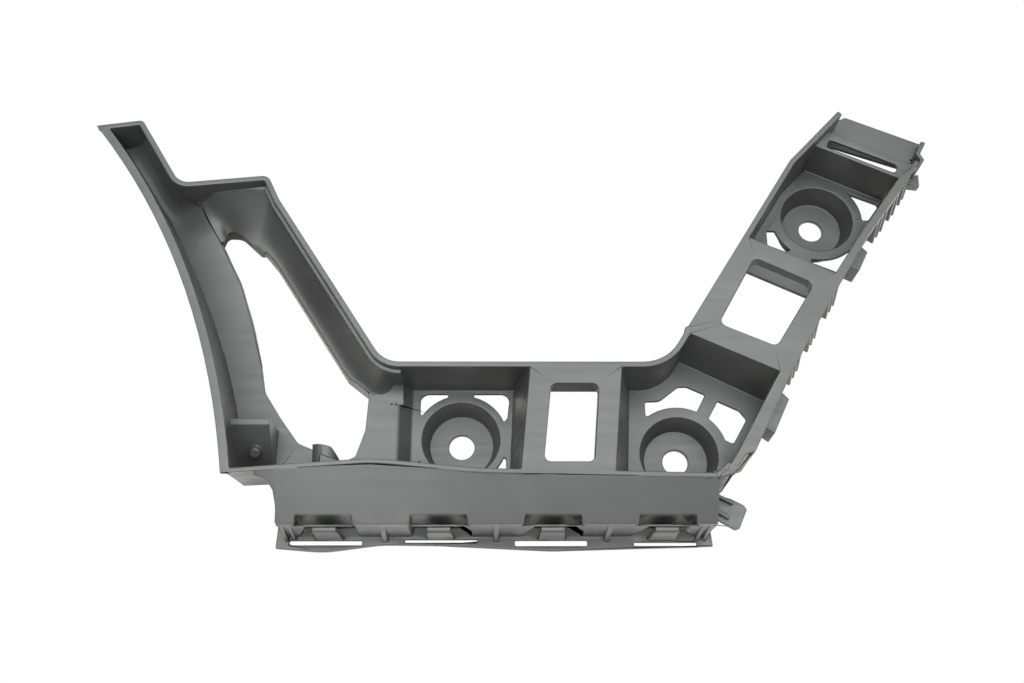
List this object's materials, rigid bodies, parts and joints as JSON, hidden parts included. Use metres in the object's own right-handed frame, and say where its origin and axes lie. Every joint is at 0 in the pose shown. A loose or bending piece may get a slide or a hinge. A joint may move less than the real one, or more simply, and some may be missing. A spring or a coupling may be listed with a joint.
{
  "type": "bumper mounting bracket",
  "caption": "Rigid plastic carrier that is bolted to a car body through recessed cups and holds the edge of a bumper cover on its row of snap tongues.",
  "frame": {"origin": "centre of the middle bolt hole on the seat plane of the bolt cups", "axes": "+X along the row of snap tongues toward the short arm, +Y from the row toward the straight wall, +Z along the bolt axes away from the car body"},
  "size_m": [0.4349, 0.2308, 0.048],
  "materials": {
    "moulded_plastic": "satin, moulded, charcoal black"
  },
  "bodies": {
    "root": {"bumper_bracket": "moulded_plastic"}
  },
  "joints": []
}
